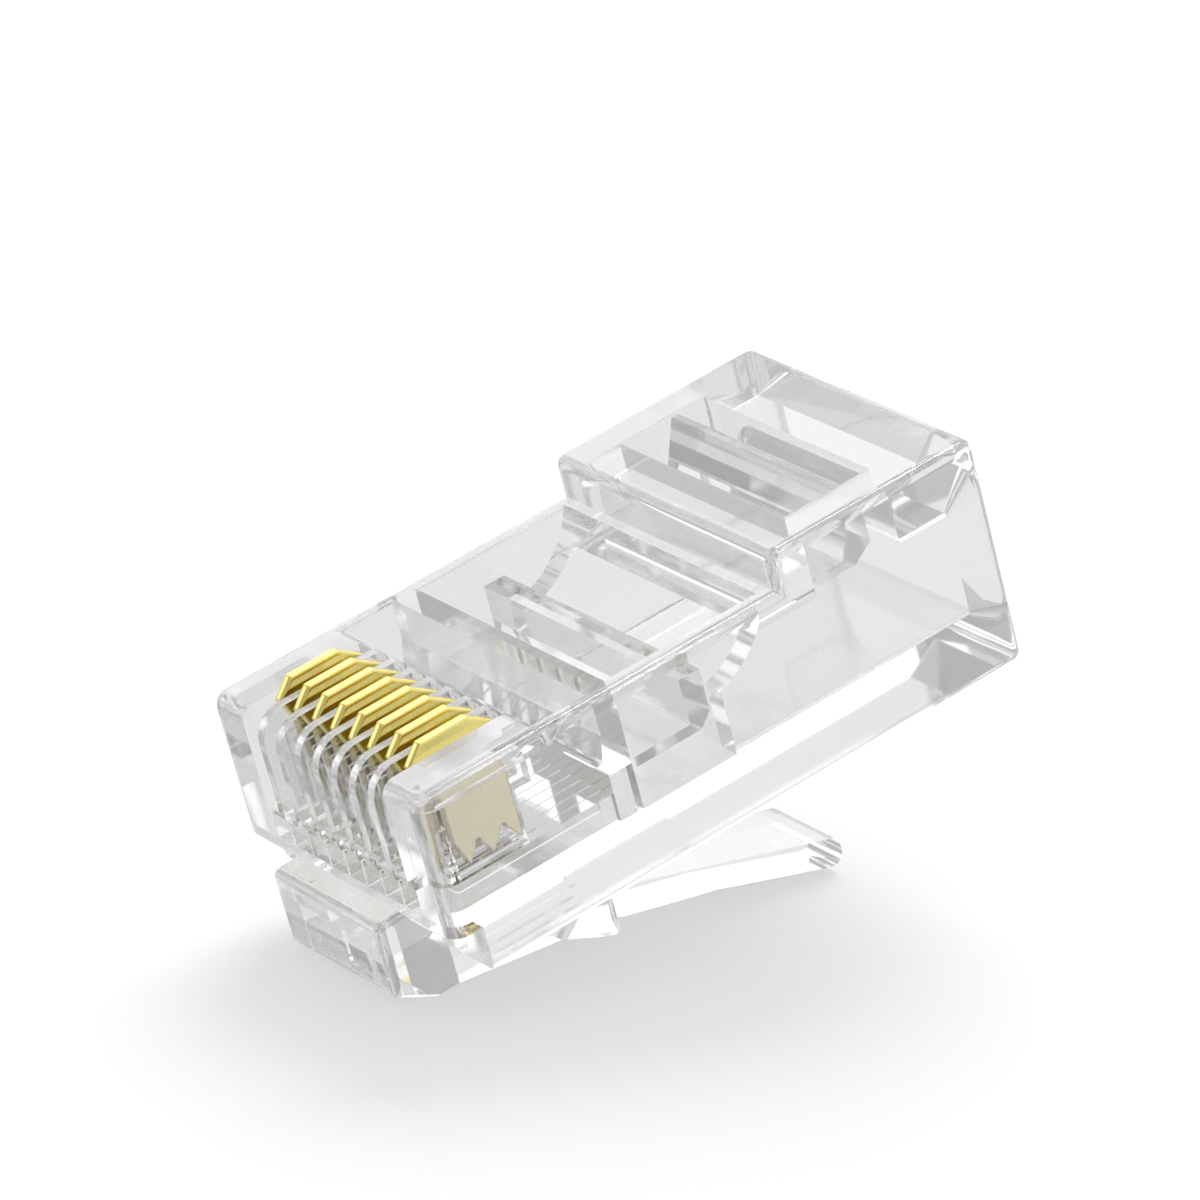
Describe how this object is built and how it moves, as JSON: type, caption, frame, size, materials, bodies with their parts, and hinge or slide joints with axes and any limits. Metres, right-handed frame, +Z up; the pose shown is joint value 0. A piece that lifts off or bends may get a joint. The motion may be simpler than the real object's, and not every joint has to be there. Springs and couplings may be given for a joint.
{
  "type": "rj45 modular plug",
  "caption": "Clear uncrimped network cable plug with gold blade contacts in open slots, a springy latch and two fold-down cable clamps.",
  "frame": {"origin": "on the table, under the middle of the overall box, with the plug lying on its chin and latch tip", "axes": "+Z up, +Y from the nose towards the cable end, +X across the contacts, from contact 1 to contact 8"},
  "size_m": [0.0116, 0.0228, 0.0152],
  "materials": {
    "clear_plastic": "clear moulded polycarbonate, polished",
    "gold_contact": "bright gold plating on copper alloy"
  },
  "bodies": {
    "housing": {"housing": "clear_plastic"},
    "latch": {"latch": "clear_plastic"},
    "wire_clamp": {"wire_clamp": "clear_plastic"},
    "jacket_clamp": {"jacket_clamp": "clear_plastic"},
    "contact_1": {"contact_1": "gold_contact"},
    "contact_2": {"contact_2": "gold_contact"},
    "contact_3": {"contact_3": "gold_contact"},
    "contact_4": {"contact_4": "gold_contact"},
    "contact_5": {"contact_5": "gold_contact"},
    "contact_6": {"contact_6": "gold_contact"},
    "contact_7": {"contact_7": "gold_contact"},
    "contact_8": {"contact_8": "gold_contact"}
  },
  "joints": [
    {"name": "latch_press", "type": "hinge", "parent": "housing", "child": "latch", "pos_m": [0, -0.00838, 0.00118], "axis": [1, 0, 0], "range_deg": [0, 14], "stiffness_Nm_per_rad": 0.12},
    {"name": "wire_clamp_fold", "type": "hinge", "parent": "housing", "child": "wire_clamp", "pos_m": [0, -0.00334, 0.00697], "axis": [-1, 0, 0], "range_deg": [0, 15]},
    {"name": "jacket_clamp_fold", "type": "hinge", "parent": "housing", "child": "jacket_clamp", "pos_m": [0, 0.00377, 0.01122], "axis": [-1, 0, 0], "range_deg": [0, 25]},
    {"name": "crimp_1", "type": "slide", "parent": "housing", "child": "contact_1", "axis": [0, 0.2791, -0.9603], "range_m": [0, 0.00103]},
    {"name": "crimp_2", "type": "slide", "parent": "housing", "child": "contact_2", "axis": [0, 0.2791, -0.9603], "range_m": [0, 0.00103]},
    {"name": "crimp_3", "type": "slide", "parent": "housing", "child": "contact_3", "axis": [0, 0.2791, -0.9603], "range_m": [0, 0.00103]},
    {"name": "crimp_4", "type": "slide", "parent": "housing", "child": "contact_4", "axis": [0, 0.2791, -0.9603], "range_m": [0, 0.00103]},
    {"name": "crimp_5", "type": "slide", "parent": "housing", "child": "contact_5", "axis": [0, 0.2791, -0.9603], "range_m": [0, 0.00103]},
    {"name": "crimp_6", "type": "slide", "parent": "housing", "child": "contact_6", "axis": [0, 0.2791, -0.9603], "range_m": [0, 0.00103]},
    {"name": "crimp_7", "type": "slide", "parent": "housing", "child": "contact_7", "axis": [0, 0.2791, -0.9603], "range_m": [0, 0.00103]},
    {"name": "crimp_8", "type": "slide", "parent": "housing", "child": "contact_8", "axis": [0, 0.2791, -0.9603], "range_m": [0, 0.00103]}
  ],
  "couplings": [
    {"joint": "crimp_2", "follows": "crimp_1", "ratio": 1},
    {"joint": "crimp_3", "follows": "crimp_1", "ratio": 1},
    {"joint": "crimp_4", "follows": "crimp_1", "ratio": 1},
    {"joint": "crimp_5", "follows": "crimp_1", "ratio": 1},
    {"joint": "crimp_6", "follows": "crimp_1", "ratio": 1},
    {"joint": "crimp_7", "follows": "crimp_1", "ratio": 1},
    {"joint": "crimp_8", "follows": "crimp_1", "ratio": 1}
  ]
}
